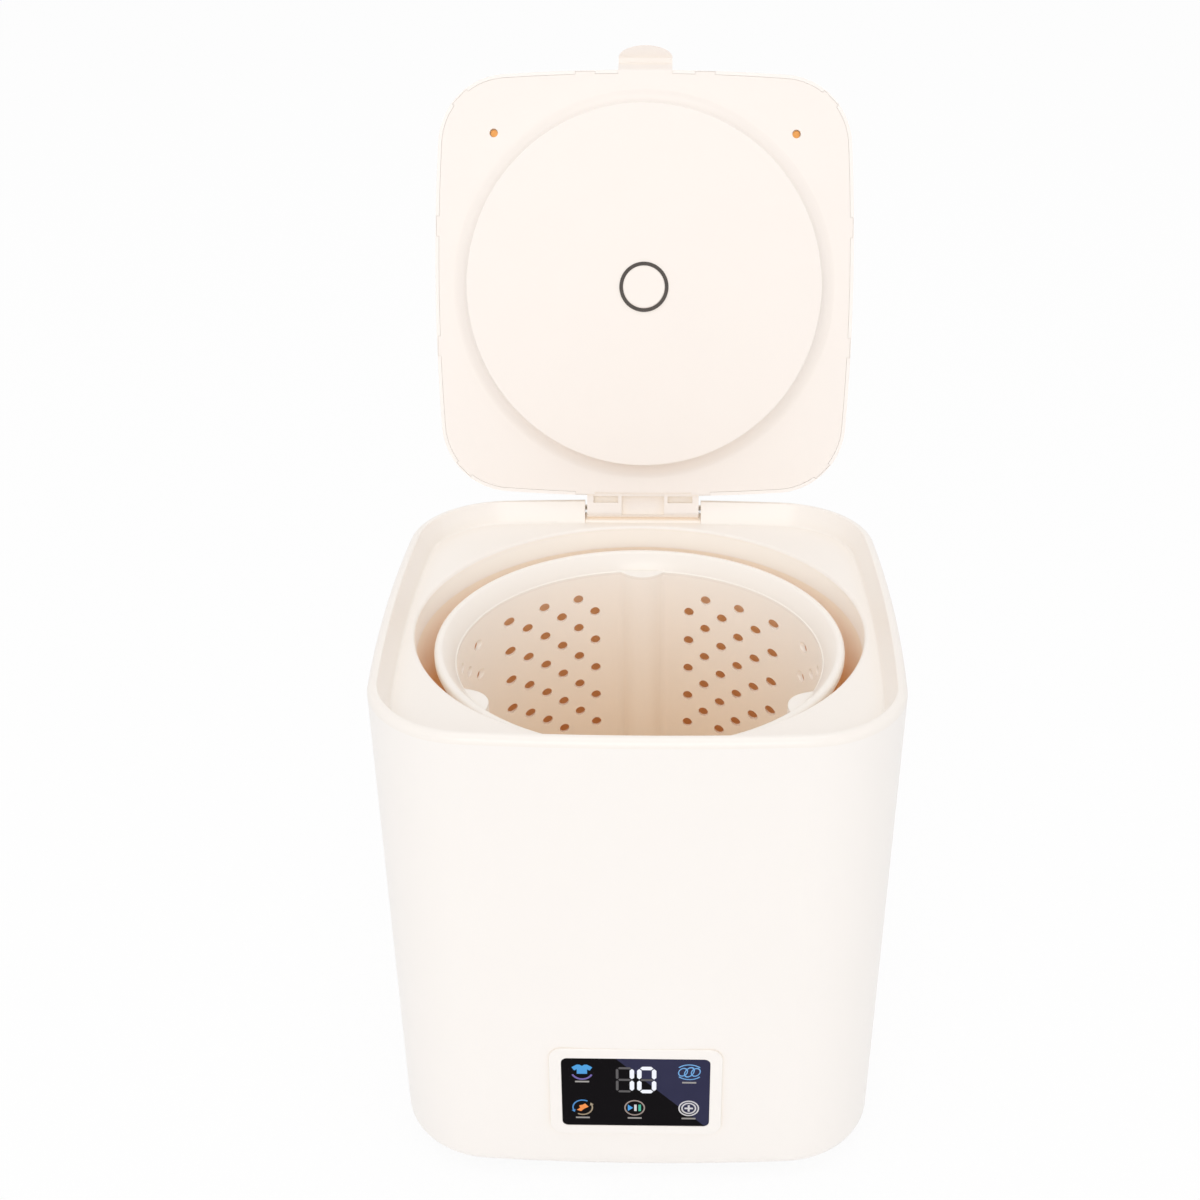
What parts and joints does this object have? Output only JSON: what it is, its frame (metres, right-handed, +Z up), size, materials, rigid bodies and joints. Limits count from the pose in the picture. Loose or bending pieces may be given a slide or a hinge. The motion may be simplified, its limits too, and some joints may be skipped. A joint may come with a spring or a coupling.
{
  "type": "portable washing machine",
  "caption": "Small top-loading washer with a bowed-square casing, round ribbed spin basket, swinging lid with finger tab and dark display panel low on the front.",
  "frame": {"origin": "on the floor, at the middle of the square of the feet, under the axis of the basket", "axes": "+Z up along the basket's axis, +X to the right seen from the front, -Y out of the front with the display, +Y to the hinge"},
  "size_m": [0.3, 0.4006, 0.5887],
  "materials": {
    "shell_plastic": "satin white moulding",
    "deck_plastic": "satin white moulding",
    "lid_plastic": "gloss white moulding",
    "panel_plastic": "satin cream moulding",
    "basket_plastic": "satin cream moulding",
    "ring_plastic": "gloss cream moulding",
    "tub_plastic": "moulded, as from the tool",
    "inner_plastic": "moulded, as from the tool",
    "black_plastic": "fine grain",
    "cap_plastic": "satin",
    "black_rubber": "matt",
    "grey_rubber": "matt",
    "panel_glass": "smoked, gloss",
    "board": "green solder mask",
    "digit": "dark face with lit segments",
    "yellow_zinc": "yellow zinc plated",
    "steel": "zinc plated",
    "bright_steel": "ground",
    "cast_aluminium": "die cast",
    "motor_paint": "baked enamel",
    "copper_coil": "taped winding",
    "brass_pins": "bright"
  },
  "bodies": {
    "cabinet": {"outer_casing": "shell_plastic", "top_deck": "deck_plastic", "hinge_pin_left": "steel", "hinge_pin_right": "steel", "base_pan": "inner_plastic", "casing_screws": "steel", "foot_front_left": "black_rubber", "foot_front_right": "black_rubber", "foot_rear_left": "black_rubber", "foot_rear_right": "black_rubber", "outer_tub": "tub_plastic", "tub_gasket": "grey_rubber", "tub_screws": "steel", "clutch_upper_housing": "cast_aluminium", "clutch_lower_housing": "cast_aluminium", "upper_bearing": "bright_steel", "lower_bearing": "bright_steel", "shaft_seal": "black_rubber", "clutch_bolts": "steel", "motor_bracket": "steel", "bracket_screw": "steel", "motor_grommets": "grey_rubber", "motor_bolts": "steel", "motor_can": "motor_paint", "motor_end_cap": "cast_aluminium", "drive_belt": "black_rubber", "control_bezel": "shell_plastic", "display_glass": "panel_glass", "display_board": "board", "digit_module": "digit", "control_box": "black_plastic", "control_box_cover": "black_plastic", "power_board": "board", "drain_valve": "inner_plastic", "valve_coil": "copper_coil", "drain_hose": "grey_rubber", "drain_spigot": "inner_plastic", "power_inlet": "black_plastic", "inlet_contacts": "brass_pins"},
    "lid": {"lid_shell": "lid_plastic", "lid_inner_panel": "panel_plastic", "lid_cap": "cap_plastic", "lid_cap_seal": "black_rubber", "lid_screws": "yellow_zinc"},
    "basket": {"spin_basket": "basket_plastic", "balance_ring": "ring_plastic", "basket_hub": "cast_aluminium", "basket_shaft": "bright_steel", "hub_screws": "steel"},
    "impeller": {"impeller": "basket_plastic", "impeller_shaft": "bright_steel", "impeller_screw": "steel", "large_pulley": "cast_aluminium", "pulley_nut": "steel"},
    "rotor": {"motor_shaft": "bright_steel", "small_pulley": "cast_aluminium"}
  },
  "joints": [
    {"name": "lid_hinge", "type": "hinge", "parent": "cabinet", "child": "lid", "pos_m": [0, 0.143, 0.311], "axis": [1, 0, 0], "range_deg": [0, 110]},
    {"name": "basket_spin", "type": "hinge", "parent": "cabinet", "child": "basket", "pos_m": [0, 0, 0.2], "axis": [0, 0, 1], "continuous": true},
    {"name": "impeller_spin", "type": "hinge", "parent": "cabinet", "child": "impeller", "pos_m": [0, 0, 0.1], "axis": [0, 0, 1], "continuous": true},
    {"name": "motor_spin", "type": "hinge", "parent": "cabinet", "child": "rotor", "pos_m": [0.065, 0.065, 0.08], "axis": [0, 0, 1], "continuous": true}
  ],
  "couplings": [
    {"joint": "motor_spin", "follows": "impeller_spin", "ratio": 3.68}
  ]
}
